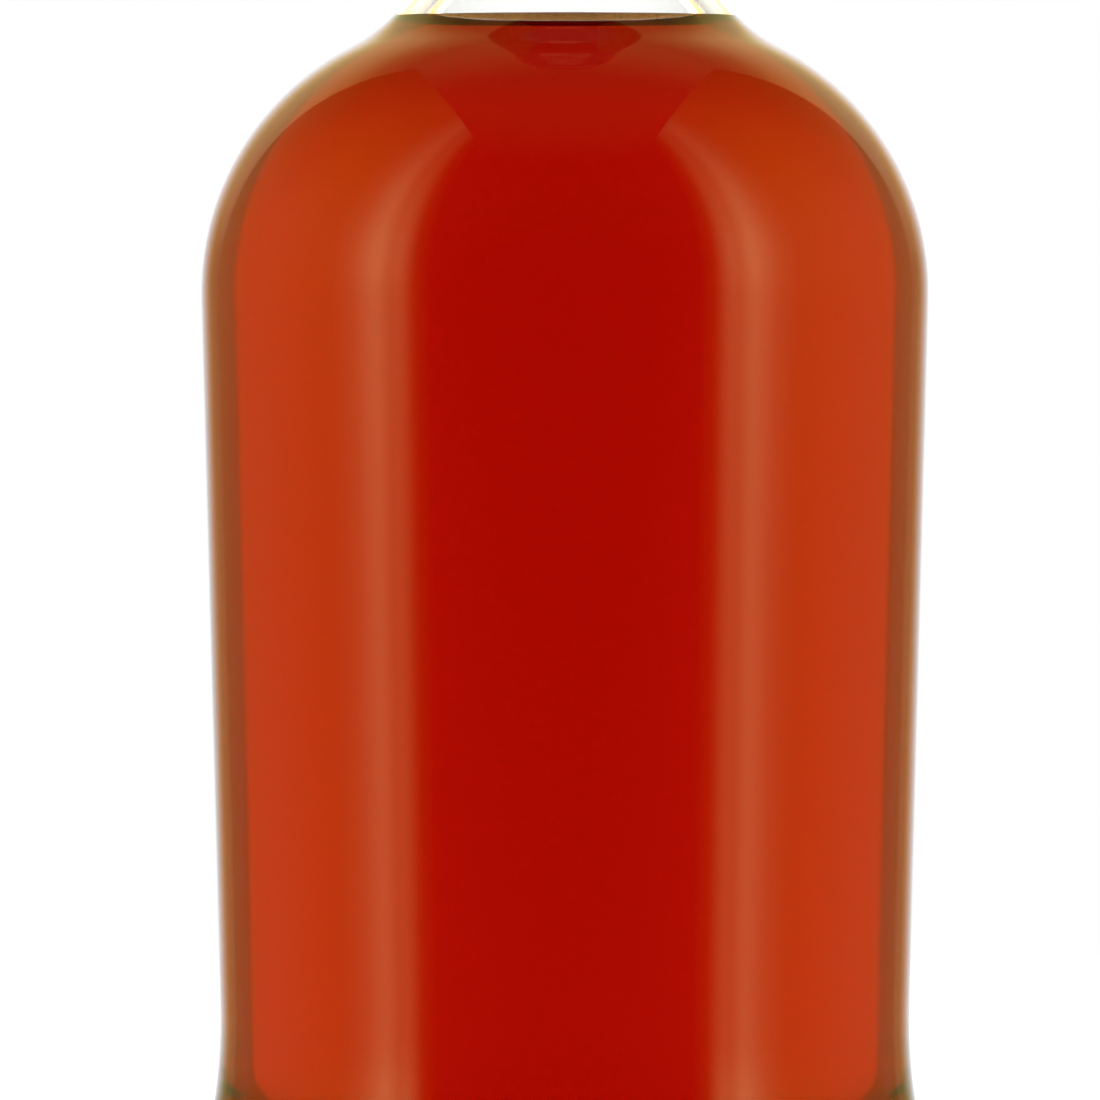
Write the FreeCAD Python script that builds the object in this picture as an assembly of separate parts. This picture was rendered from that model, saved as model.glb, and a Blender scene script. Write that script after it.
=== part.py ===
"""Rum bottle for 70 cl: a moulded glass bottle with a round shoulder, a waist and a flared
foot, its fill of aged rum, and a turned wooden stopper on a cork shank.

Each piece is a half section in the XZ plane, turned about +Z. Millimetres.
The origin is the centre of the ring that the bottle stands on.
"""

import FreeCAD, Part

import math
import os

# ---- glass: outside of the body ----
BODY_DIAMETER = 90.0  # at the widest place
BODY_HEIGHT = 121.1  # of the widest place, where the shoulder starts
SHOULDER_RADIUS = 34.2
WAIST_HEIGHT = 31.2
WAIST_DEPTH = 2.45  # how far the waist lies inside the widest place
FLARE_RADIUS = 65.0  # hollow curve from the waist out to the foot
HEEL_RADIUS = 12.5  # the foot, from its widest place down to the standing ring

# ---- glass: neck and mouth ----
NECK_DIAMETER = 30.0
NECK_BLEND = 21.7  # hollow curve from the shoulder up into the neck
NECK_LENGTH = 62.0  # straight part, up to the lip
RING_HEIGHT = 12.0  # thick band round the mouth
RING_STEP = 1.1  # how far the band stands out from the neck
RING_UNDERCUT = 0.6  # hollow curve where the band leaves the neck
RING_ROUND = 0.5  # the band's lower edge
LIP_ROUND = 2.2  # outer edge of the mouth
BORE_DIAMETER = 18.6
BORE_LENGTH = 40.0  # straight part, which holds the cork
MOUTH_ROUND = 1.2  # inner edge of the mouth

# ---- glass: wall and bottom ----
WALL = 3.0
INNER_HEEL_RADIUS = 11.0
STANDING_RING_WIDTH = 4.4
PUNT_HEIGHT = 10.0  # how far the bottom is pushed up
PUNT_EDGE = 3.0  # rounded edge of that hollow
BOTTOM_THICKNESS = 6.5  # at the axis

# ---- rum ----
ULLAGE_BELOW_NECK = 15.4  # the rum's surface, below the start of the straight neck

# ---- stopper ----
CORK_LENGTH = 23.0
CORK_CHAMFER = 1.2
HEAD_OVERHANG = 0.6  # how far the head stands out from the band round the mouth
HEAD_HEIGHT = 15.0
HEAD_CROWN = 0.9  # rise of the domed top
HEAD_TOP_ROUND = 1.8
HEAD_LOWER_CHAMFER = 0.8
GROOVE_HEIGHT = 4.2  # turned groove, above the head's underside
GROOVE_WIDTH = 1.6
GROOVE_DEPTH = 0.7


# ---- plane geometry: a point is (r, z) and a circle is (r, z, radius) ----
def grown(circle, by):
    """The same circle with its radius changed."""
    r, z, radius = circle
    return (r, z, radius + by)


def on_circle(circle, angle):
    """The point of a circle at an angle above the +r direction, in radians."""
    r, z, radius = circle
    return (r + radius * math.cos(angle), z + radius * math.sin(angle))


def between(circle_a, circle_b):
    """The point where two circles touch from outside."""
    ra, za, radius_a = circle_a
    rb, zb, radius_b = circle_b
    share = radius_a / (radius_a + radius_b)
    return (ra + (rb - ra) * share, za + (zb - za) * share)


def crossing_line(circle_a, circle_b):
    """The line that leaves one circle, passes between the two and meets the other.

    Returns its two points of touch. Seen from the first circle to the second, the line
    leaves on the left.
    """
    ra, za, radius_a = circle_a
    rb, zb, radius_b = circle_b
    apart = math.hypot(rb - ra, zb - za)
    heading = math.atan2(zb - za, rb - ra)
    turn = math.acos((radius_a + radius_b) / apart)
    return on_circle(circle_a, heading + turn), on_circle(circle_b, heading + turn + math.pi)


def touching_both(circle_a, circle_b, radius):
    """The circle of a given radius that touches two others from outside.

    Of the two that do, it is the one on the left, seen from the first to the second.
    """
    ra, za, radius_a = circle_a
    rb, zb, radius_b = circle_b
    reach_a = radius_a + radius
    reach_b = radius_b + radius
    apart = math.hypot(rb - ra, zb - za)
    heading = math.atan2(zb - za, rb - ra)
    turn = math.acos((reach_a**2 + apart**2 - reach_b**2) / (2 * reach_a * apart))
    r, z = on_circle((ra, za, reach_a), heading + turn)
    return (r, z, radius)


class Outline:
    """A half section drawn in order, from lines and arcs that each start where the last ends."""

    def __init__(self, start):
        self.start = start
        self.here = start
        self.edges = []

    def line_to(self, point):
        """Goes straight to a point. A line of no length is left out."""
        if math.dist(self.here, point) > 1e-6:
            self.edges.append(Part.LineSegment(in_plane(self.here), in_plane(point)).toShape())
        self.here = point

    def arc_to(self, point, circle):
        """Follows a circle to a point on it, the short way round."""
        r, z, _ = circle
        angle_a = math.atan2(self.here[1] - z, self.here[0] - r)
        angle_b = math.atan2(point[1] - z, point[0] - r)
        sweep = (angle_b - angle_a + math.pi) % (2 * math.pi) - math.pi
        middle = on_circle(circle, angle_a + sweep / 2)
        arc = Part.Arc(in_plane(self.here), in_plane(middle), in_plane(point))
        self.edges.append(arc.toShape())
        self.here = point

    def ease_to(self, point):
        """Steps sideways on the way down, by two equal arcs that start and end upright."""
        r, z = self.here
        step = point[0] - r
        drop = z - point[1]
        if abs(step) < 1e-6:
            self.line_to(point)
            return
        radius = (step**2 + drop**2) / (4 * step)
        halfway = (r + step / 2, z - drop / 2)
        self.arc_to(halfway, (r + radius, z, abs(radius)))
        self.arc_to(point, (point[0] - radius, point[1], abs(radius)))

    def turned(self):
        """The section, closed and turned once round the axis into a solid."""
        self.line_to(self.start)
        face = Part.Face(Part.Wire(self.edges))
        return face.revolve(FreeCAD.Vector(0, 0, 0), FreeCAD.Vector(0, 0, 1), 360)


def in_plane(point):
    return FreeCAD.Vector(point[0], 0, point[1])


# ---- the circles of the bottle's outside ----
def neck_blend_circle():
    """Touches the shoulder from outside and ends upright at the neck's radius."""
    r = NECK_DIAMETER / 2 + NECK_BLEND
    reach = SHOULDER_RADIUS + NECK_BLEND
    rise = math.sqrt(reach**2 - (r - SHOULDER[0]) ** 2)
    return (r, BODY_HEIGHT + rise, NECK_BLEND)


def heel_circle():
    """Touches the flare from outside, and the ground."""
    reach = FLARE_RADIUS + HEEL_RADIUS
    drop = WAIST_HEIGHT - HEEL_RADIUS
    return (FLARE[0] - math.sqrt(reach**2 - drop**2), HEEL_RADIUS, HEEL_RADIUS)


def punt_circle():
    """The pushed-up bottom: a dome that touches the punt's rounded edge from outside."""
    rise = PUNT_HEIGHT - PUNT_EDGE
    radius = (PUNT_LIP[0] ** 2 + rise**2 - PUNT_EDGE**2) / (2 * PUNT_HEIGHT)
    return (0.0, PUNT_HEIGHT - radius, radius)


SHOULDER = (BODY_DIAMETER / 2 - SHOULDER_RADIUS, BODY_HEIGHT, SHOULDER_RADIUS)
FLARE = (BODY_DIAMETER / 2 - WAIST_DEPTH + FLARE_RADIUS, WAIST_HEIGHT, FLARE_RADIUS)
BLEND = neck_blend_circle()
HEEL = heel_circle()
PUNT_LIP = (HEEL[0] - STANDING_RING_WIDTH, PUNT_EDGE, PUNT_EDGE)
PUNT = punt_circle()

# ---- and of its inside, one wall away ----
INNER_SHOULDER = grown(SHOULDER, -WALL)
INNER_BLEND = grown(BLEND, WALL)
INNER_FLARE = grown(FLARE, WALL)
INNER_BOTTOM = grown(PUNT, BOTTOM_THICKNESS)
INNER_HEEL = touching_both(INNER_BOTTOM, INNER_FLARE, INNER_HEEL_RADIUS)

# ---- levels and radii that pieces share ----
NECK_START = BLEND[1]
LIP_HEIGHT = NECK_START + NECK_LENGTH
RING_RADIUS = NECK_DIAMETER / 2 + RING_STEP
BORE_RADIUS = BORE_DIAMETER / 2
FILL_HEIGHT = NECK_START - ULLAGE_BELOW_NECK


def bottle_glass():
    """Drawn from the bottom's centre up the outside, over the lip and down the inside."""
    half = Outline((0.0, PUNT_HEIGHT))
    draw_foot_and_body(half)
    draw_mouth(half)

    half.line_to((BORE_RADIUS, LIP_HEIGHT - BORE_LENGTH))
    half.ease_to((NECK_DIAMETER / 2 - WALL, NECK_START))
    half.arc_to(between(INNER_SHOULDER, INNER_BLEND), INNER_BLEND)
    draw_body_inside(half)
    return half.turned()


def draw_foot_and_body(half):
    """From the bottom's centre out over the standing ring and up to the neck."""
    half.arc_to(between(PUNT, PUNT_LIP), PUNT)
    half.arc_to((PUNT_LIP[0], 0.0), PUNT_LIP)
    half.line_to((HEEL[0], 0.0))
    half.arc_to(between(HEEL, FLARE), HEEL)
    on_shoulder, on_flare = crossing_line(SHOULDER, FLARE)
    half.arc_to(on_flare, FLARE)
    half.line_to(on_shoulder)
    half.arc_to(between(SHOULDER, BLEND), SHOULDER)
    half.arc_to((NECK_DIAMETER / 2, NECK_START), BLEND)


def draw_mouth(half):
    """From the neck round the thick band and over the lip to the bore."""
    band_z = LIP_HEIGHT - RING_HEIGHT
    hollow = (NECK_DIAMETER / 2 + RING_UNDERCUT, band_z - RING_UNDERCUT, RING_UNDERCUT)
    lower = (RING_RADIUS - RING_ROUND, band_z + RING_ROUND, RING_ROUND)
    lip = (RING_RADIUS - LIP_ROUND, LIP_HEIGHT - LIP_ROUND, LIP_ROUND)
    mouth = (BORE_RADIUS + MOUTH_ROUND, LIP_HEIGHT - MOUTH_ROUND, MOUTH_ROUND)

    half.line_to((NECK_DIAMETER / 2, hollow[1]))
    half.arc_to((hollow[0], band_z), hollow)
    half.line_to((lower[0], band_z))
    half.arc_to((RING_RADIUS, lower[1]), lower)
    half.line_to((RING_RADIUS, lip[1]))
    half.arc_to((lip[0], LIP_HEIGHT), lip)
    half.line_to((mouth[0], LIP_HEIGHT))
    half.arc_to((BORE_RADIUS, mouth[1]), mouth)


def draw_body_inside(half):
    """From the upper end of the inner shoulder down to the middle of the bottom."""
    on_shoulder, on_flare = crossing_line(INNER_SHOULDER, INNER_FLARE)
    half.arc_to(on_shoulder, INNER_SHOULDER)
    half.line_to(on_flare)
    half.arc_to(between(INNER_HEEL, INNER_FLARE), INNER_FLARE)
    half.arc_to(between(INNER_BOTTOM, INNER_HEEL), INNER_HEEL)
    half.arc_to((0.0, PUNT_HEIGHT + BOTTOM_THICKNESS), INNER_BOTTOM)


def rum():
    """Fills the glass from wall to wall, up to a level in the throat below the neck."""
    r, z, radius = INNER_BLEND
    surface_r = r - math.sqrt(radius**2 - (z - FILL_HEIGHT) ** 2)

    half = Outline((0.0, FILL_HEIGHT))
    half.line_to((surface_r, FILL_HEIGHT))
    half.arc_to(between(INNER_SHOULDER, INNER_BLEND), INNER_BLEND)
    draw_body_inside(half)
    return half.turned()


def stopper_cork():
    """Natural cork shank, squeezed to the bore, that hangs from the head."""
    lower_z = LIP_HEIGHT - CORK_LENGTH
    half = Outline((0.0, lower_z))
    half.line_to((BORE_RADIUS - CORK_CHAMFER, lower_z))
    half.line_to((BORE_RADIUS, lower_z + CORK_CHAMFER))
    half.line_to((BORE_RADIUS, LIP_HEIGHT))
    half.line_to((0.0, LIP_HEIGHT))
    return half.turned()


def stopper_head():
    """Turned wooden head that rests on the lip, with one groove and a domed top."""
    head_r = RING_RADIUS + HEAD_OVERHANG
    half = Outline((0.0, LIP_HEIGHT))
    half.line_to((head_r - HEAD_LOWER_CHAMFER, LIP_HEIGHT))
    half.line_to((head_r, LIP_HEIGHT + HEAD_LOWER_CHAMFER))

    # the groove is the part of a circle that cuts in by its depth
    reach = GROOVE_WIDTH / 2
    groove_z = LIP_HEIGHT + GROOVE_HEIGHT
    groove_radius = (reach**2 + GROOVE_DEPTH**2) / (2 * GROOVE_DEPTH)
    half.line_to((head_r, groove_z - reach))
    half.arc_to((head_r, groove_z + reach), (head_r - GROOVE_DEPTH + groove_radius, groove_z, groove_radius))

    # the crown is a cap of a large sphere, which the top's rounded edge touches from inside
    top_z = LIP_HEIGHT + HEAD_HEIGHT
    edge_r = head_r - HEAD_TOP_ROUND
    inner_radius = (edge_r**2 + HEAD_CROWN**2) / (2 * HEAD_CROWN)
    crown = (0.0, top_z - HEAD_TOP_ROUND - inner_radius, inner_radius + HEAD_TOP_ROUND)
    edge = (edge_r, top_z - HEAD_TOP_ROUND - HEAD_CROWN, HEAD_TOP_ROUND)
    half.line_to((head_r, edge[1]))
    half.arc_to(on_circle(edge, math.atan2(edge[1] - crown[1], edge_r)), edge)
    half.arc_to((0.0, top_z), crown)
    return half.turned()


NODES = {
    "bottle_glass": bottle_glass,
    "rum": rum,
    "stopper_cork": stopper_cork,
    "stopper_head": stopper_head,
}

os.makedirs("parts", exist_ok=True)
for name, build in NODES.items():
    solid = build()
    solid.exportStep(f"parts/{name}.step")
    print(f"{name}: {solid.ShapeType}, valid {solid.isValid()}, {solid.Volume / 1000:.1f} ml")
print(f"fill {FILL_HEIGHT:.2f}, neck starts {NECK_START:.2f}, lip {LIP_HEIGHT:.2f} mm")
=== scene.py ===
import math

import bpy
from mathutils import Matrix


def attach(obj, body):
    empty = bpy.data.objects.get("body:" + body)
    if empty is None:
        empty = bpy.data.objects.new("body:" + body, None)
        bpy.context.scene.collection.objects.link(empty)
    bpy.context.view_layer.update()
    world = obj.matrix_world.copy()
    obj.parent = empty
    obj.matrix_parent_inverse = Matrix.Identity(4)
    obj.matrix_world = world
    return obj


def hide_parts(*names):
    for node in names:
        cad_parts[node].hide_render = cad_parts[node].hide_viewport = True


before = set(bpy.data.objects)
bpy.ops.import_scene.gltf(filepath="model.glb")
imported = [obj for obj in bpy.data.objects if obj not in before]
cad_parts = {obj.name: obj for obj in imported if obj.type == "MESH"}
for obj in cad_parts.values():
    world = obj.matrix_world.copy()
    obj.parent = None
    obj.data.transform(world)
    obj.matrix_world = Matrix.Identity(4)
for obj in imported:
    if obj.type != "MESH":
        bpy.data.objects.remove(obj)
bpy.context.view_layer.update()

# ---- glass bottle ----
# A spirits bottle of clear flint glass, blown in a two-part mould with a pushed-up bottom.
# The outside is as true as the mould. The inside was shaped by air alone, so the wall
# swells and thins a little, and bends what is seen through it.
# Sizes are in millimetres, and as on the bottle's drawing but where noted.
BODY_RADIUS = 44.98  # the drawing has 45.0; a little less keeps it inside
BODY_HEIGHT = 121.1
SHOULDER_RADIUS = 34.2
WAIST_HEIGHT = 31.2
WAIST_DEPTH = 2.45
FLARE_RADIUS = 65.0
HEEL_RADIUS = 12.5
NECK_RADIUS = 15.0
NECK_BLEND = 21.7
NECK_LENGTH = 62.0
RING_HEIGHT = 12.0
RING_STEP = 1.1
RING_UNDERCUT = 0.6
RING_ROUND = 0.5
LIP_ROUND = 2.2
BORE_RADIUS = 9.3
BORE_LENGTH = 40.0
MOUTH_ROUND = 1.2
WALL = 3.0
INNER_HEEL_RADIUS = 11.0
STANDING_RING_WIDTH = 4.4
PUNT_HEIGHT = 10.0
PUNT_EDGE = 3.0
BOTTOM_THICKNESS = 6.5
ULLAGE_BELOW_NECK = 17.15  # to the edge of the rum on the glass; the drawing has 15.4
WALL_RIPPLE = 0.07  # how far the inside mostly strays from true; 0.1 at the most
RIPPLE_FOOT, RIPPLE_FOOT_FADE = 22.0, 25.0  # it starts at this height, and grows over this much
RIPPLE_BORE_FADE = 15.0  # it dies away over this much under the bore
SEGMENTS = 256


def grown(circle, by):
    """A circle is (r, z, radius). Gives the same one with its radius changed."""
    return (circle[0], circle[1], circle[2] + by)


def on_circle(circle, angle):
    return (circle[0] + circle[2] * math.cos(angle), circle[1] + circle[2] * math.sin(angle))


def between(a, b):
    """The point where two circles touch from outside."""
    share = a[2] / (a[2] + b[2])
    return (a[0] + (b[0] - a[0]) * share, a[1] + (b[1] - a[1]) * share)


def crossing_line(a, b):
    """The points where the line that passes between two circles touches each."""
    apart = math.hypot(b[0] - a[0], b[1] - a[1])
    angle = math.atan2(b[1] - a[1], b[0] - a[0]) + math.acos((a[2] + b[2]) / apart)
    return on_circle(a, angle), on_circle(b, angle + math.pi)


def touching_both(a, b, radius):
    """The circle of a given radius that touches two others from outside."""
    reach_a, reach_b = a[2] + radius, b[2] + radius
    apart = math.hypot(b[0] - a[0], b[1] - a[1])
    turn = math.acos((reach_a**2 + apart**2 - reach_b**2) / (2 * reach_a * apart))
    angle = math.atan2(b[1] - a[1], b[0] - a[0]) + turn
    return (*on_circle((a[0], a[1], reach_a), angle), radius)


def line_to(outline, point, step=2.2):
    """Adds points along a line, close enough together for the ripple in the wall."""
    r, z = outline[-1]
    count = max(1, round(math.dist((r, z), point) / step))
    for i in range(1, count + 1):
        share = i / count
        outline.append((r + (point[0] - r) * share, z + (point[1] - z) * share))


def arc_to(outline, point, circle, step=1.7):
    """Adds points along a circle, the short way round, at least every 6 degrees."""
    start = math.atan2(outline[-1][1] - circle[1], outline[-1][0] - circle[0])
    end = math.atan2(point[1] - circle[1], point[0] - circle[0])
    sweep = (end - start + math.pi) % (2 * math.pi) - math.pi
    count = max(3, round(abs(sweep) * circle[2] / step), math.ceil(abs(sweep) / math.radians(6)))
    for i in range(1, count):
        outline.append(on_circle(circle, start + sweep * i / count))
    outline.append(point)


shoulder = (BODY_RADIUS - SHOULDER_RADIUS, BODY_HEIGHT, SHOULDER_RADIUS)
flare = (BODY_RADIUS - WAIST_DEPTH + FLARE_RADIUS, WAIST_HEIGHT, FLARE_RADIUS)
blend_r = NECK_RADIUS + NECK_BLEND
blend_rise = math.sqrt((SHOULDER_RADIUS + NECK_BLEND) ** 2 - (blend_r - shoulder[0]) ** 2)
blend = (blend_r, BODY_HEIGHT + blend_rise, NECK_BLEND)
heel_reach = math.sqrt((FLARE_RADIUS + HEEL_RADIUS) ** 2 - (WAIST_HEIGHT - HEEL_RADIUS) ** 2)
heel = (flare[0] - heel_reach, HEEL_RADIUS, HEEL_RADIUS)
punt_lip = (heel[0] - STANDING_RING_WIDTH, PUNT_EDGE, PUNT_EDGE)
punt_radius = (punt_lip[0] ** 2 + (PUNT_HEIGHT - PUNT_EDGE) ** 2 - PUNT_EDGE**2) / (2 * PUNT_HEIGHT)
punt = (0.0, PUNT_HEIGHT - punt_radius, punt_radius)
neck_start = blend[1]
lip_z = neck_start + NECK_LENGTH
ring_r = NECK_RADIUS + RING_STEP
fill_z = neck_start - ULLAGE_BELOW_NECK


def draw_outside(outline):
    """From the middle of the bottom out over the foot, and up to the bore's upper edge."""
    arc_to(outline, between(punt, punt_lip), punt)
    arc_to(outline, (punt_lip[0], 0.0), punt_lip)
    line_to(outline, (heel[0], 0.0))
    arc_to(outline, between(heel, flare), heel)
    on_shoulder, on_flare = crossing_line(shoulder, flare)
    arc_to(outline, on_flare, flare)
    line_to(outline, on_shoulder)
    arc_to(outline, between(shoulder, blend), shoulder)
    arc_to(outline, (NECK_RADIUS, neck_start), blend)

    band_z = lip_z - RING_HEIGHT
    hollow = (NECK_RADIUS + RING_UNDERCUT, band_z - RING_UNDERCUT, RING_UNDERCUT)
    lower = (ring_r - RING_ROUND, band_z + RING_ROUND, RING_ROUND)
    line_to(outline, (NECK_RADIUS, hollow[1]))
    arc_to(outline, (hollow[0], band_z), hollow)
    arc_to(outline, (ring_r, lower[1]), lower)
    line_to(outline, (ring_r, lip_z - LIP_ROUND))
    arc_to(outline, (ring_r - LIP_ROUND, lip_z), (ring_r - LIP_ROUND, lip_z - LIP_ROUND, LIP_ROUND))
    line_to(outline, (BORE_RADIUS + MOUTH_ROUND, lip_z))
    mouth = (BORE_RADIUS + MOUTH_ROUND, lip_z - MOUTH_ROUND, MOUTH_ROUND)
    arc_to(outline, (BORE_RADIUS, mouth[1]), mouth)


def draw_throat(outline, wall, stop_z):
    """On the inside, from the start of the straight neck down the blend to a height."""
    inner_blend = grown(blend, wall)
    r = inner_blend[0] - math.sqrt(inner_blend[2] ** 2 - (stop_z - inner_blend[1]) ** 2)
    arc_to(outline, (r, stop_z), inner_blend, step=0.7)


def draw_body_inside(outline, wall):
    """On the inside, from the throat down to the middle of the bottom."""
    inner_shoulder = grown(shoulder, -wall)
    inner_flare = grown(flare, wall)
    bottom = grown(punt, BOTTOM_THICKNESS - WALL + wall)
    inner_heel = touching_both(bottom, inner_flare, INNER_HEEL_RADIUS + WALL - wall)
    on_shoulder, on_flare = crossing_line(inner_shoulder, inner_flare)
    arc_to(outline, between(inner_shoulder, grown(blend, wall)), grown(blend, wall))
    arc_to(outline, on_shoulder, inner_shoulder)
    line_to(outline, on_flare)
    arc_to(outline, between(inner_heel, inner_flare), inner_flare)
    arc_to(outline, between(bottom, inner_heel), inner_heel)
    arc_to(outline, (0.0, bottom[1] + bottom[2]), bottom)


def ripple(angle, z):
    """How far the inside of the wall strays at a place. It fades out at bore and bottom.

    Three waves run round the wall, of 3, 5 and 11 crests, and two of them wind as they rise.
    """
    around = math.sin(3 * angle + 0.6)
    around += 0.6 * math.sin(5 * angle - z / 31)
    around += 0.35 * math.sin(11 * angle + z / 17)
    usual = 1.4  # how high the three mostly add up to
    fade = min(1.0, max(0.0, (z - RIPPLE_FOOT) / RIPPLE_FOOT_FADE))
    fade *= min(1.0, max(0.0, (lip_z - BORE_LENGTH - z) / RIPPLE_BORE_FADE))
    return WALL_RIPPLE * around * fade / usual


def turned(name, outline, slots=None, stray=None):
    """Turns an outline in millimetres about +Z into a smooth closed mesh in metres.

    slots gives each stretch of the outline its material; stray moves points in radius.
    """
    points = []
    rings = []
    for k, (r, z) in enumerate(outline):
        if r < 1e-6:
            rings.append([len(points)] * SEGMENTS)
            points.append((0.0, 0.0, z / 1000))
            continue
        rings.append(list(range(len(points), len(points) + SEGMENTS)))
        for i in range(SEGMENTS):
            angle = 2 * math.pi * i / SEGMENTS
            shifted = (r + (stray(k, angle, z) if stray else 0.0)) / 1000
            points.append((shifted * math.cos(angle), shifted * math.sin(angle), z / 1000))
    faces = []
    materials = []
    for k in range(len(rings) - 1):
        for i in range(SEGMENTS):
            j = (i + 1) % SEGMENTS
            corners = [rings[k][i], rings[k][j], rings[k + 1][j], rings[k + 1][i]]
            faces.append(tuple(dict.fromkeys(corners)))
            materials.append(slots[k] if slots else 0)
    mesh = bpy.data.meshes.new(name)
    mesh.from_pydata(points, [], faces)
    mesh.polygons.foreach_set("material_index", materials)
    mesh.polygons.foreach_set("use_smooth", [True] * len(faces))
    mesh.validate()
    piece = bpy.data.objects.new(name, mesh)
    bpy.context.scene.collection.objects.link(piece)
    return piece


def srgb(code):
    """An sRGB hex colour, such as "a04020", as linear red, green, blue and alpha."""
    channels = [int(code[i : i + 2], 16) / 255 for i in (0, 2, 4)]
    linear = [c / 12.92 if c <= 0.04045 else ((c + 0.055) / 1.055) ** 2.4 for c in channels]
    return (*linear, 1.0)


def add_node(tree, kind, inputs=None, **settings):
    """Adds a node. An input is given a value, or a socket to link it to."""
    node = tree.nodes.new(kind)
    for name, value in settings.items():
        setattr(node, name, value)
    for name, value in (inputs or {}).items():
        if isinstance(value, bpy.types.NodeSocket):
            tree.links.new(value, node.inputs[name])
        else:
            node.inputs[name].default_value = value
    return node


def new_material(name):
    material = bpy.data.materials.new(name)
    material.use_nodes = True
    material.node_tree.nodes.clear()
    return material, material.node_tree


def let_lamps_through(tree, shader, tint):
    """The shader, except that lamps cast their light through it with a tint."""
    path = add_node(tree, "ShaderNodeLightPath")
    clear = add_node(tree, "ShaderNodeBsdfTransparent", {"Color": tint})
    both = {0: path.outputs["Is Shadow Ray"], 1: shader, 2: clear.outputs[0]}
    return add_node(tree, "ShaderNodeMixShader", both).outputs[0]


# Flint glass, moulded and fire-polished: near colourless, with a trace of green where
# it is seen edge on, and a skin that waves very slightly, so reflections aren't ruled.
flint, tree = new_material("flint_glass_fire_polished")
coords = add_node(tree, "ShaderNodeTexCoord")
swell = add_node(
    tree, "ShaderNodeTexNoise", {"Vector": coords.outputs["Object"], "Scale": 70.0, "Detail": 2.0}
)
skin = add_node(
    tree, "ShaderNodeBump", {"Height": swell.outputs[0], "Strength": 1.0, "Distance": 0.000008}
)
glass = add_node(
    tree,
    "ShaderNodeBsdfPrincipled",
    {
        "Base Color": srgb("fdfefd"),
        "Roughness": 0.0,
        "IOR": 1.52,
        "Transmission Weight": 1.0,
        "Normal": skin.outputs[0],
    },
)
surface = let_lamps_through(tree, glass.outputs[0], srgb("f4f6f4"))
add_node(tree, "ShaderNodeOutputMaterial", {"Surface": surface})

# Where rum wets the glass the wall barely mirrors, because the two bend light alike.
wetted, tree = new_material("flint_glass_wetted")
glass = add_node(
    tree,
    "ShaderNodeBsdfPrincipled",
    {
        "Base Color": srgb("ffffff"),
        "Roughness": 0.0,
        "IOR": 1.52,
        "Transmission Weight": 1.0,
        "Specular Tint": (0.0, 0.0, 0.0, 1.0),
    },
)
surface = let_lamps_through(tree, glass.outputs[0], srgb("ffffff"))
add_node(tree, "ShaderNodeOutputMaterial", {"Surface": surface})

# The outline runs over the outside and down the bore. Two arcs widen the bore into the
# throat, and the rest of the inside follows, down to the middle of the bottom.
outline = [(0.0, PUNT_HEIGHT)]
draw_outside(outline)
line_to(outline, (BORE_RADIUS, lip_z - BORE_LENGTH))
outside_count = len(outline)
inner_neck = NECK_RADIUS - WALL
drop = lip_z - BORE_LENGTH - neck_start
ease = ((inner_neck - BORE_RADIUS) ** 2 + drop**2) / (4 * (inner_neck - BORE_RADIUS))
halfway = ((BORE_RADIUS + inner_neck) / 2, neck_start + drop / 2)
arc_to(outline, halfway, (BORE_RADIUS + ease, lip_z - BORE_LENGTH, ease))
arc_to(outline, (inner_neck, neck_start), (inner_neck - ease, neck_start, ease))
draw_throat(outline, WALL, fill_z)
dry_count = len(outline) - 1
draw_body_inside(outline, WALL)

slots = [0 if k < dry_count else 1 for k in range(len(outline))]
bottle = turned(
    "glass_bottle",
    outline,
    slots,
    lambda k, angle, z: ripple(angle, z) if k >= outside_count else 0.0,
)
bottle.data.materials.append(flint)
bottle.data.materials.append(wetted)
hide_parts("bottle_glass")
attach(bottle, "root")

# ---- rum ----
# Aged rum of 40 percent alcohol, a clear liquid that is deep red-amber through the whole
# bottle and tan where it is thin. It wets the glass and climbs it at the edge.
EMBED = 0.2  # how far its side reaches into the wall, so that no air shows between
CAPILLARY = 2.5  # sets how wide its curl at the glass is; spirit itself has about 1.8
CONTACT_ANGLE = 5.0  # between its skin and the glass, in degrees
CURL_START = 2.0  # how steep its skin is where the curl begins, in degrees
CURL_STEPS = 48
SKIN_STEPS = 24  # from the middle out to the curl, closer together towards the curl

# The neck leans over the rum, so the rum climbs it in a curl. The curl meets the glass at
# fill_z, and the level middle of the surface lies lower.
inner_blend = grown(blend, WALL)
lean = math.asin((inner_blend[1] - fill_z) / inner_blend[2])
wall_r = inner_blend[0] - inner_blend[2] * math.cos(lean)
steepest = math.pi / 2 + lean - math.radians(CONTACT_ANGLE)
climb = []
r, slope = 0.0, math.radians(CURL_START)
turn = (steepest - slope) / CURL_STEPS
while len(climb) <= CURL_STEPS:
    climb.append((r, 2 * CAPILLARY * math.sin(slope / 2)))
    r += math.cos(slope + turn / 2) * CAPILLARY / (2 * math.sin(slope / 2 + turn / 4)) * turn
    slope += turn
level_z = fill_z - climb[-1][1]
climb = [(wall_r - climb[-1][0] + r, level_z + z) for r, z in climb]
outline = [(0.0, level_z)]
for i in range(1, SKIN_STEPS):
    r = climb[0][0] * (1 - (1 - i / SKIN_STEPS) ** 1.5)
    rise = (climb[0][1] - level_z) * math.exp((r - climb[0][0]) / CAPILLARY)
    outline.append((r, level_z + rise))
outline += climb
side_blend = grown(blend, WALL - EMBED)
side_r = side_blend[0] - math.sqrt(side_blend[2] ** 2 - (fill_z - side_blend[1]) ** 2)
outline.append((side_r, fill_z))
top_count = len(outline) - 1
draw_body_inside(outline, WALL - EMBED)

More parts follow.
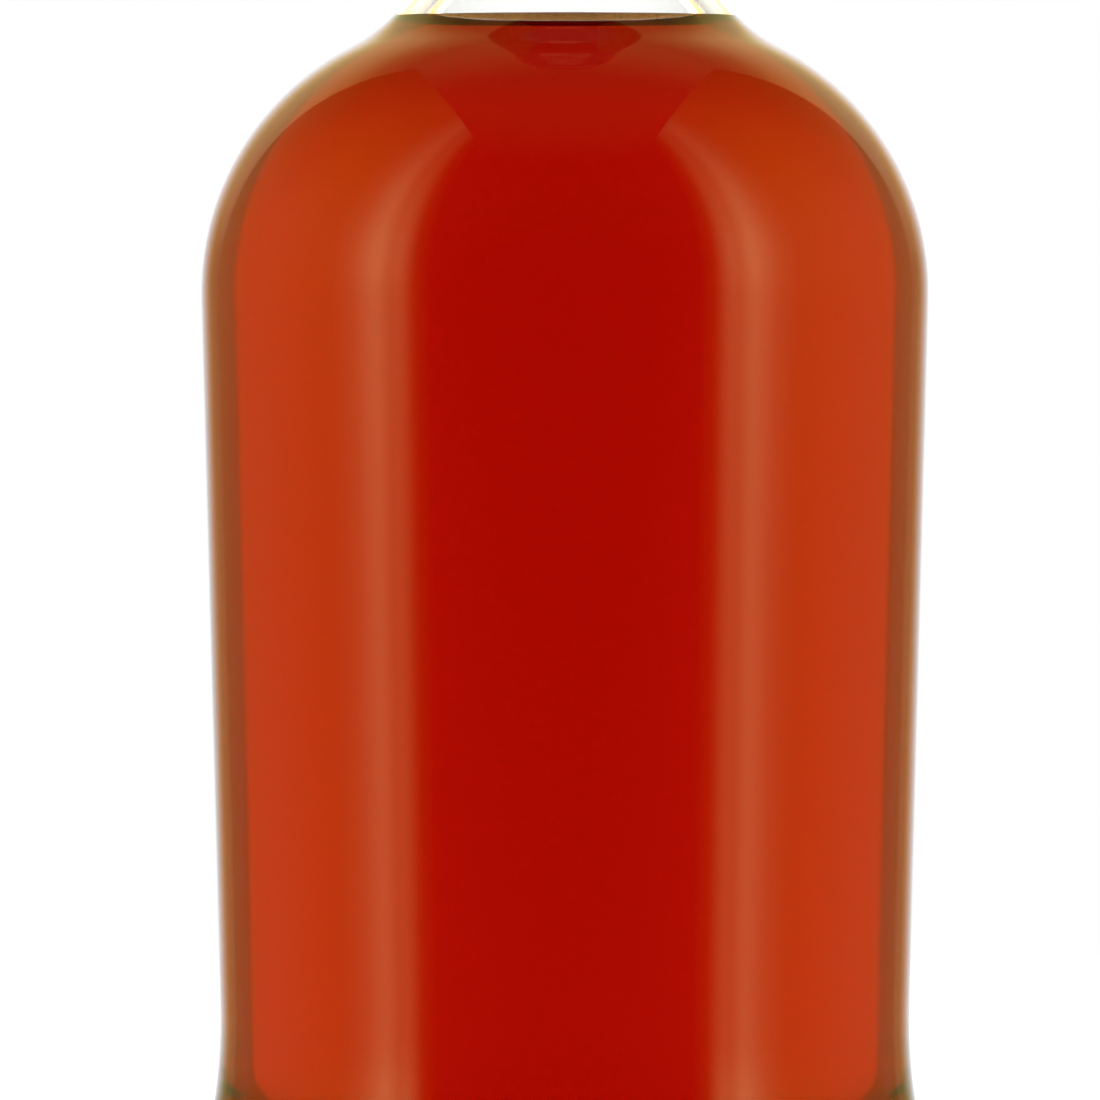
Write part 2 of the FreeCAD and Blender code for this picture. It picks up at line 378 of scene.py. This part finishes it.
# Aged rum: a clear liquid that takes out green and blue with depth, so it goes from tan to
# deep red. Only its open skin mirrors; against glass the two bend light alike.
rum_material, tree = new_material("aged_rum")
skin = add_node(tree, "ShaderNodeAttribute", attribute_name="open_skin")
liquid = add_node(
    tree,
    "ShaderNodeBsdfPrincipled",
    {
        "Base Color": srgb("e2e2e2"),
        "Roughness": 0.0,
        "IOR": 1.36,
        "Transmission Weight": 1.0,
        "Specular Tint": skin.outputs["Color"],
    },
)
surface = let_lamps_through(tree, liquid.outputs[0], srgb("ffffff"))
depth = add_node(tree, "ShaderNodeVolumeAbsorption", {"Color": srgb("f39027"), "Density": 100.0})
add_node(tree, "ShaderNodeOutputMaterial", {"Surface": surface, "Volume": depth.outputs[0]})

outline.reverse()  # from the bottom up, so that its faces look outwards
side_count = len(outline) - 1 - top_count
rum = turned(
    "rum_fill",
    outline,
    None,
    lambda k, angle, z: ripple(angle, z) if k <= side_count else 0.0,
)
rum.data.materials.append(rum_material)
skin = rum.data.attributes.new("open_skin", "FLOAT_COLOR", "CORNER")
for face in rum.data.polygons:
    level = 1.0 if face.index >= side_count * SEGMENTS else 0.0
    for corner in face.loop_indices:
        skin.data[corner].color = (level, level, level, 1.0)
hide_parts("rum")
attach(rum, "root")

# ---- cork shank ----
# The working half of the stopper: one plug of natural cork, cut round across the layers
# of the bark and chamfered at its foot. It is pressed into the bore, which squeezes it.
CORK_LENGTH = 23.0
CORK_CHAMFER = 1.2
CORK_SLACK = 0.06  # it is drawn just inside the bore that it fills
EDGE_RUN, EDGE_RISE = 0.3, 0.1  # how far each rounded edge of the chamfer runs
FOOT_ROUND, SIDE_ROUND = 0.42, 0.45

# Natural cork, cut: pale brown and quite dull, a grain of fine cells with the bark's
# yearly layers in it, and dark pores that run across the plug in short streaks.
cork_material, tree = new_material("natural_cork_cut")
coords = add_node(tree, "ShaderNodeTexCoord")
across = add_node(
    tree, "ShaderNodeMapping", {"Vector": coords.outputs["Object"], "Scale": (260, 950, 1200)}
)
pores = add_node(
    tree, "ShaderNodeTexNoise", {"Vector": across.outputs[0], "Scale": 1.0, "Detail": 3.0}
)
pores = add_node(
    tree, "ShaderNodeMapRange", {"Value": pores.outputs[0], "From Min": 0.58, "From Max": 0.66}
)
cells = add_node(
    tree,
    "ShaderNodeTexNoise",
    {"Vector": coords.outputs["Object"], "Scale": 2300.0, "Detail": 3.0},
)
cells = add_node(
    tree, "ShaderNodeMapRange", {"Value": cells.outputs[0], "From Min": 0.35, "From Max": 0.65}
)
years = add_node(
    tree,
    "ShaderNodeTexWave",
    {
        "Vector": coords.outputs["Object"],
        "Scale": 45.0,
        "Distortion": 3.0,
        "Detail": 2.0,
        "Detail Scale": 1.5,
    },
    bands_direction="Y",
)
tone = add_node(
    tree,
    "ShaderNodeMath",
    {0: cells.outputs[0], 1: years.outputs["Fac"]},
    operation="MULTIPLY",
)
flesh = add_node(
    tree,
    "ShaderNodeMix",
    {0: tone.outputs[0], 6: srgb("b4855a"), 7: srgb("deba8c")},
    data_type="RGBA",
)
colour = add_node(
    tree,
    "ShaderNodeMix",
    {0: pores.outputs[0], 6: flesh.outputs[2], 7: srgb("6e4427")},
    data_type="RGBA",
)
rise = add_node(
    tree, "ShaderNodeMath", {0: cells.outputs[0], 1: pores.outputs[0]}, operation="SUBTRACT"
)
relief = add_node(
    tree, "ShaderNodeBump", {"Height": rise.outputs[0], "Strength": 0.7, "Distance": 0.00018}
)
plug = add_node(
    tree,
    "ShaderNodeBsdfPrincipled",
    {"Base Color": colour.outputs[2], "Roughness": 0.85, "Normal": relief.outputs[0]},
)
add_node(tree, "ShaderNodeOutputMaterial", {"Surface": plug.outputs[0]})

cork_r = BORE_RADIUS - CORK_SLACK
cork_z = lip_z - CORK_LENGTH
foot_r = cork_r - CORK_CHAMFER - EDGE_RUN
side_z = cork_z + CORK_CHAMFER + EDGE_RUN
outline = [(0.0, cork_z), (foot_r, cork_z)]
foot_edge = (foot_r, cork_z + FOOT_ROUND, FOOT_ROUND)
arc_to(outline, (cork_r - CORK_CHAMFER, cork_z + EDGE_RISE), foot_edge)
line_to(outline, (cork_r - EDGE_RISE, cork_z + CORK_CHAMFER))
arc_to(outline, (cork_r, side_z), (cork_r - SIDE_ROUND, side_z, SIDE_ROUND))
line_to(outline, (cork_r, lip_z))
outline.append((0.0, lip_z))
cork = turned("cork_shank", outline)
cork.data.materials.append(cork_material)
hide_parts("stopper_cork")
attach(cork, "root")

# ---- stopper head ----
# The half that is gripped: a knob of beech, turned on a lathe with one groove round its
# side, stained dark and lacquered. It is glued on top of the cork and rests on the lip.
PITH = (0.055, -0.03, 0.0)  # from the tree's pith to the knob's axis, in metres
LAYER = 0.0021  # from one growth layer to the next


def level_by(tree, value, stops, interpolation="CARDINAL"):
    """A brightness that follows stops of (value, brightness). The ramp itself ends at 1."""
    low, high = stops[0][0], stops[-1][0]
    peak = max(level for at, level in stops)
    share = add_node(
        tree, "ShaderNodeMapRange", {"Value": value, "From Min": low, "From Max": high}
    )
    ramp = add_node(tree, "ShaderNodeValToRGB", {0: share.outputs[0]})
    marks = ramp.color_ramp.elements
    marks.remove(marks[1])
    marks[0].color = (stops[0][1] / peak,) * 3 + (1.0,)
    for at, level in stops[1:]:
        marks.new((at - low) / (high - low)).color = (level / peak,) * 3 + (1.0,)
    ramp.color_ramp.interpolation = interpolation
    level = add_node(tree, "ShaderNodeMath", {0: ramp.outputs[0], 1: peak}, operation="MULTIPLY")
    return level.outputs[0]


# Beech, turned and stained: growth layers and short dark flecks down the grain, faint
# rings from the tool, and a satin lacquer over it that takes a soft highlight.
head_material, tree = new_material("beech_stained_lacquered")
coords = add_node(tree, "ShaderNodeTexCoord")
from_pith = add_node(
    tree, "ShaderNodeVectorMath", {0: coords.outputs["Object"], 1: PITH}, operation="ADD"
)
flat = add_node(
    tree, "ShaderNodeVectorMath", {0: from_pith.outputs[0], 1: (1, 1, 0)}, operation="MULTIPLY"
)
reach = add_node(tree, "ShaderNodeVectorMath", {0: flat.outputs[0]}, operation="LENGTH")
wander = add_node(
    tree, "ShaderNodeTexNoise", {"Vector": coords.outputs["Object"], "Scale": 90.0, "Detail": 2.0}
)
wander = add_node(
    tree, "ShaderNodeMath", {0: wander.outputs[0], 1: 0.0012}, operation="MULTIPLY"
)
layers = add_node(
    tree, "ShaderNodeMath", {0: reach.outputs["Value"], 1: wander.outputs[0]}, operation="ADD"
)
layers = add_node(
    tree, "ShaderNodeMath", {0: layers.outputs[0], 1: 1 / LAYER}, operation="MULTIPLY"
)
layers = add_node(tree, "ShaderNodeMath", {0: layers.outputs[0]}, operation="FRACT")
layers = level_by(
    tree, layers.outputs[0], [(0.0, 0.2), (0.7, 0.45), (0.9, 1.0), (1.0, 0.2)], "LINEAR"
)
down = add_node(
    tree, "ShaderNodeMapping", {"Vector": coords.outputs["Object"], "Scale": (2400, 2400, 420)}
)
flecks = add_node(
    tree, "ShaderNodeTexNoise", {"Vector": down.outputs[0], "Scale": 1.0, "Detail": 2.0}
)
flecks = add_node(
    tree, "ShaderNodeMapRange", {"Value": flecks.outputs[0], "From Min": 0.6, "From Max": 0.68}
)
wood = add_node(
    tree,
    "ShaderNodeMix",
    {0: layers, 6: srgb("74452b"), 7: srgb("532c1c")},
    data_type="RGBA",
)
wood = add_node(
    tree,
    "ShaderNodeMix",
    {0: flecks.outputs[0], 6: wood.outputs[2], 7: srgb("361a10")},
    data_type="RGBA",
)
tool = add_node(
    tree,
    "ShaderNodeTexWave",
    {"Vector": coords.outputs["Object"], "Scale": 420.0, "Distortion": 0.6, "Detail": 1.0},
    bands_direction="Z",
)
rise = add_node(
    tree, "ShaderNodeMath", {0: tool.outputs["Fac"], 1: flecks.outputs[0]}, operation="SUBTRACT"
)
relief = add_node(
    tree, "ShaderNodeBump", {"Height": rise.outputs[0], "Strength": 0.5, "Distance": 0.00002}
)
knob = add_node(
    tree,
    "ShaderNodeBsdfPrincipled",
    {
        "Base Color": wood.outputs[2],
        "Roughness": 0.55,
        "Specular IOR Level": 0.2,
        "Coat Weight": 0.3,
        "Coat Roughness": 0.28,
        "Normal": relief.outputs[0],
    },
)
add_node(tree, "ShaderNodeOutputMaterial", {"Surface": knob.outputs[0]})
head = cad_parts["stopper_head"]
head.data.materials.clear()
head.data.materials.append(head_material)

# ---- floor ----
# A sheet of pale studio paper, wide enough to run out of sight behind the bottle. It is
# lit until it is white, and keeps the bottle's shadow. The glass neither mirrors it nor
# lets it be seen through it.
FLOOR_RADIUS = 4.5  # metres
FLOOR_SIDES = 96
FLOOR_DROP = 0.0002  # under the bottle's foot
PAPER_GLOW = 0.56  # lifts the paper to white for the camera

# Uncoated paper: matt, with a fine tooth and the faint cloudiness of its fibres.
floor_material, tree = new_material("pale_uncoated_paper")
coords = add_node(tree, "ShaderNodeTexCoord")
fibres = add_node(
    tree,
    "ShaderNodeTexNoise",
    {"Vector": coords.outputs["Object"], "Scale": 900.0, "Detail": 3.0},
)
tone = add_node(
    tree,
    "ShaderNodeMix",
    {0: fibres.outputs[0], 6: srgb("e4e4e3"), 7: srgb("e8e8e8")},
    data_type="RGBA",
)
tooth = add_node(
    tree, "ShaderNodeBump", {"Height": fibres.outputs[0], "Strength": 0.3, "Distance": 0.00005}
)
paper = add_node(
    tree, "ShaderNodeBsdfDiffuse", {"Color": tone.outputs[2], "Normal": tooth.outputs[0]}
)
path = add_node(tree, "ShaderNodeLightPath")
glow = add_node(
    tree,
    "ShaderNodeMath",
    {0: path.outputs["Is Camera Ray"], 1: PAPER_GLOW},
    operation="MULTIPLY",
)
shine = add_node(
    tree, "ShaderNodeEmission", {"Color": srgb("ffffff"), "Strength": glow.outputs[0]}
)
both = add_node(tree, "ShaderNodeAddShader", {0: paper.outputs[0], 1: shine.outputs[0]})
add_node(tree, "ShaderNodeOutputMaterial", {"Surface": both.outputs[0]})

floor_mesh = bpy.data.meshes.new("studio_floor")
rim = [2 * math.pi * i / FLOOR_SIDES for i in range(FLOOR_SIDES)]
corners = [(FLOOR_RADIUS * math.cos(a), FLOOR_RADIUS * math.sin(a), -FLOOR_DROP) for a in rim]
floor_mesh.from_pydata(corners, [], [tuple(range(FLOOR_SIDES))])
floor_mesh.materials.append(floor_material)
floor = bpy.data.objects.new("studio_floor", floor_mesh)
bpy.context.scene.collection.objects.link(floor)
floor.visible_glossy = False
floor.visible_transmission = False

# ---- world ----
# A white studio. A white cloth fills the back and is seen around the bottle and through
# it; the room in front, which the glass mirrors, is dark.
world = bpy.data.worlds.new("white_studio")
bpy.context.scene.world = world
world.use_nodes = True
tree = world.node_tree
tree.nodes.clear()
path = add_node(tree, "ShaderNodeLightPath")
coords = add_node(tree, "ShaderNodeTexCoord")
split = add_node(tree, "ShaderNodeSeparateXYZ", {0: coords.outputs["Generated"]})
to_back = split.outputs["Y"]
height = split.outputs["Z"]

# What the glass mirrors: the cloth, brighter the further back it is and most of all at
# about 30 degrees up, and a faint ceiling.
cloth = level_by(
    tree,
    to_back,
    [
        (0.0, 0.01),
        (0.3, 0.2),
        (0.6, 0.38),
        (0.8, 0.42),
        (0.88, 0.5),
        (0.93, 0.75),
        (0.98, 1.0),
    ],
)
overhead = level_by(
    tree,
    height,
    [
        (0.08, 1.0),
        (0.24, 1.4),
        (0.42, 2.1),
        (0.55, 2.3),
        (0.63, 2.05),
        (0.7, 1.3),
        (0.79, 0.8),
        (0.97, 1.3),
    ],
    "LINEAR",
)
ceiling = level_by(tree, height, [(0.76, 0.0), (0.85, 0.05), (0.93, 0.1)], "LINEAR")
cloth = add_node(tree, "ShaderNodeMath", {0: cloth, 1: overhead}, operation="MULTIPLY")
cloth = add_node(tree, "ShaderNodeMath", {0: cloth.outputs[0], 1: ceiling}, operation="MAXIMUM")
# Its light is warm at the sides, white straight behind, and a little paler higher up.
whiteness = add_node(
    tree, "ShaderNodeMapRange", {"Value": to_back, "From Min": 0.88, "From Max": 0.98}
)
high_up = add_node(
    tree, "ShaderNodeMapRange", {"Value": height, "From Min": 0.15, "From Max": 0.3}
)
paling = add_node(
    tree,
    "ShaderNodeMapRange",
    {"Value": to_back, "From Min": 0.65, "From Max": 0.87, "To Max": 0.22},
)
paling = add_node(
    tree, "ShaderNodeMath", {0: paling.outputs[0], 1: high_up.outputs[0]}, operation="MULTIPLY"
)
whiteness = add_node(
    tree,
    "ShaderNodeMath",
    {0: whiteness.outputs[0], 1: paling.outputs[0]},
    operation="MAXIMUM",
)
cloth_hue = add_node(
    tree,
    "ShaderNodeMix",
    {0: whiteness.outputs[0], 6: srgb("ffe472"), 7: srgb("ffffff")},
    data_type="RGBA",
)
mirrored = add_node(
    tree, "ShaderNodeBackground", {"Color": cloth_hue.outputs[2], "Strength": cloth.outputs[0]}
)

# What shows through the glass: brightest within 43 degrees of straight back, and less
# towards the floor and overhead.
through = level_by(
    tree,
    to_back,
    [
        (0.4, 1.04),
        (0.5, 0.86),
        (0.6, 0.78),
        (0.71, 0.78),
        (0.735, 1.42),
        (0.9, 1.44),
        (0.97, 1.36),
        (1.0, 1.3),
    ],
    "LINEAR",
)
below = level_by(
    tree,
    height,
    [
        (-0.62, 0.5),
        (-0.5, 0.6),
        (-0.42, 0.7),
        (-0.35, 0.8),
        (-0.3, 0.89),
        (-0.15, 0.98),
        (0.0, 1.0),
    ],
    "LINEAR",
)
through = add_node(tree, "ShaderNodeMath", {0: through, 1: below}, operation="MULTIPLY")
above = level_by(tree, height, [(0.35, 1.0), (0.5, 0.4), (0.65, 0.03)], "LINEAR")

# High on the back cloth hangs a warm lamp glow, which the surface of the rum mirrors.
to_middle = add_node(
    tree, "ShaderNodeMapRange", {"Value": to_back, "From Min": 0.84, "From Max": 0.9}
)
high_glow = level_by(
    tree,
    height,
    [(0.1, 0.0), (0.16, 1.9), (0.22, 1.9), (0.3, 1.3), (0.38, 0.7), (0.5, 0.0)],
    "LINEAR",
)
high_glow = add_node(
    tree, "ShaderNodeMath", {0: high_glow, 1: to_middle.outputs[0]}, operation="MULTIPLY"
)
above = add_node(tree, "ShaderNodeMath", {0: above, 1: high_glow.outputs[0]}, operation="ADD")
through = add_node(
    tree, "ShaderNodeMath", {0: through.outputs[0], 1: above.outputs[0]}, operation="MULTIPLY"
)
warmth = add_node(
    tree, "ShaderNodeMapRange", {"Value": height, "From Min": 0.12, "From Max": 0.23}
)
warmth = add_node(
    tree, "ShaderNodeMath", {0: warmth.outputs[0], 1: to_middle.outputs[0]}, operation="MULTIPLY"
)
through_hue = add_node(
    tree,
    "ShaderNodeMix",
    {0: warmth.outputs[0], 6: srgb("ffffff"), 7: srgb("ffc070")},
    data_type="RGBA",
)
behind = add_node(
    tree, "ShaderNodeBackground", {"Color": through_hue.outputs[2], "Strength": through.outputs[0]}
)

# The camera sees the cloth as plain white, and dull surfaces get an even light from it.
even = add_node(tree, "ShaderNodeBackground", {"Color": (1, 1, 1, 1), "Strength": 0.6})
white = add_node(tree, "ShaderNodeBackground", {"Color": (1, 1, 1, 1), "Strength": 1.0})
views = (("Is Glossy Ray", mirrored), ("Is Transmission Ray", behind), ("Is Camera Ray", white))
sky = even
for ray, shown in views:
    sky = add_node(
        tree,
        "ShaderNodeMixShader",
        {0: path.outputs[ray], 1: sky.outputs[0], 2: shown.outputs[0]},
    )
add_node(tree, "ShaderNodeOutputWorld", {"Surface": sky.outputs[0]})

# ---- softboxes ----
# Two tall softboxes stand beside the bottle, one on each side. Their cloths give the
# glass its long warm reflections, brightest near the front edge, and dim to the back.
BOX_X = 0.6
BOX_FRONT, BOX_BACK = -0.68, 0.75
BOX_FOOT, BOX_TOP = -0.5, 1.45
LAMP_HEIGHT, LAMP_DEPTH = 1.4, 1.0  # of the lamp inside each, in metres
LAMP_AT = (-0.1, 0.7)  # how far back its middle is, and how high
LAMP_LEVEL = 1.2

# Diffuser cloth with the lamp behind it: a soft yellowish wash all over, and a whiter
# upright bar of glow where the lamp is, strongest a little above the bottle.
softbox_cloth, tree = new_material("warm_diffuser_cloth")
coords = add_node(tree, "ShaderNodeTexCoord")
split = add_node(tree, "ShaderNodeSeparateXYZ", {0: coords.outputs["Object"]})
wash = level_by(
    tree,
    split.outputs["Y"],
    [
        (BOX_FRONT, 0.0),
        (-0.63, 0.1),
        (-0.56, 0.28),
        (-0.5, 0.6),
        (-0.4, 0.8),
        (-0.2, 0.9),
        (0.03, 0.78),
        (0.22, 0.55),
        (0.45, 0.42),
        (BOX_BACK, 0.38),
    ],
)
wash_height = level_by(
    tree,
    split.outputs["Z"],
    [(0.0, 0.8), (0.08, 0.85), (0.16, 1.0), (0.5, 0.93), (0.9, 0.62), (BOX_TOP, 0.4)],
)
lamp_glow = level_by(
    tree,
    split.outputs["Y"],
    [
        (BOX_FRONT, 0.0),
        (-0.56, 0.05),
        (-0.52, 0.4),
        (-0.48, 0.9),
        (-0.45, 1.15),
        (-0.42, 1.1),
        (-0.39, 1.5),
        (-0.35, 2.05),
        (-0.31, 1.7),
        (-0.25, 0.8),
        (-0.16, 0.15),
        (-0.05, 0.0),
    ],
)
lamp_height = level_by(
    tree,
    split.outputs["Z"],
    [
        (0.0, 0.6),
        (0.08, 0.66),
        (0.16, 0.92),
        (0.28, 1.0),
        (0.4, 0.8),
        (0.65, 0.48),
        (0.85, 0.3),
        (BOX_TOP, 0.16),
    ],
)
wash = add_node(tree, "ShaderNodeMath", {0: wash, 1: wash_height}, operation="MULTIPLY")
lamp_glow = add_node(
    tree, "ShaderNodeMath", {0: lamp_glow, 1: lamp_height}, operation="MULTIPLY"
)
wash = add_node(
    tree, "ShaderNodeEmission", {"Color": srgb("ffe53c"), "Strength": wash.outputs[0]}
)
lamp_glow = add_node(
    tree, "ShaderNodeEmission", {"Color": srgb("fff0ac"), "Strength": lamp_glow.outputs[0]}
)
both = add_node(tree, "ShaderNodeAddShader", {0: wash.outputs[0], 1: lamp_glow.outputs[0]})
add_node(tree, "ShaderNodeOutputMaterial", {"Surface": both.outputs[0]})
for side in (-1, 1):
    name = "softbox_left" if side < 0 else "softbox_right"
    mesh = bpy.data.meshes.new(name)
    corners = [
        (BOX_FRONT, BOX_FOOT),
        (BOX_BACK, BOX_FOOT),
        (BOX_BACK, BOX_TOP),
        (BOX_FRONT, BOX_TOP),
    ]
    mesh.from_pydata([(side * BOX_X, y, z) for y, z in corners], [], [(0, 1, 2, 3)])
    mesh.materials.append(softbox_cloth)
    box = bpy.data.objects.new(name, mesh)
    bpy.context.scene.collection.objects.link(box)
    box.visible_camera = box.visible_transmission = box.visible_diffuse = box.visible_shadow = False

    # The lamp inside lights the dull surfaces; the cloth is there for the glass alone.
    lamp = bpy.data.lights.new(name + "_lamp", "AREA")
    lamp.shape = "RECTANGLE"
    lamp.size, lamp.size_y = LAMP_HEIGHT, LAMP_DEPTH
    lamp.energy = LAMP_LEVEL * math.pi * lamp.size * lamp.size_y
    inside = bpy.data.objects.new(name + "_lamp", lamp)
    inside.location = (side * BOX_X, *LAMP_AT)
    inside.rotation_euler = (0.0, side * math.pi / 2, 0.0)
    inside.visible_camera = inside.visible_transmission = inside.visible_glossy = False
    bpy.context.scene.collection.objects.link(inside)

# ---- camera ----
# A long lens, below the middle of the body and looking up by just over a degree.
# It frames the bottle from the root of its neck to just under its waist.
DISTANCE = 1600.0
FRAME_WIDTH = 136.07  # millimetres across the picture, at the bottle's axis
TILT_UP = math.radians(1.3)
aim = (-1.84, 0.0, 89.3)  # the bottle stands a little to the right of the middle
camera_data = bpy.data.cameras.new("camera")
camera_data.sensor_width = 36.0
camera_data.lens = camera_data.sensor_width * DISTANCE / FRAME_WIDTH
camera = bpy.data.objects.new("camera", camera_data)
camera.location = (
    aim[0] / 1000,
    -DISTANCE * math.cos(TILT_UP) / 1000,
    (aim[2] - DISTANCE * math.sin(TILT_UP)) / 1000,
)
camera.rotation_euler = (math.pi / 2 + TILT_UP, 0.0, 0.0)
camera_data.clip_end = 20.0
bpy.context.scene.collection.objects.link(camera)
bpy.context.scene.camera = camera

bpy.context.scene.view_settings.view_transform = "Standard"
bpy.context.scene.cycles.max_bounces = 16
bpy.context.scene.cycles.transmission_bounces = 16
bpy.context.scene.cycles.transparent_max_bounces = 24

bpy.context.view_layer.update()
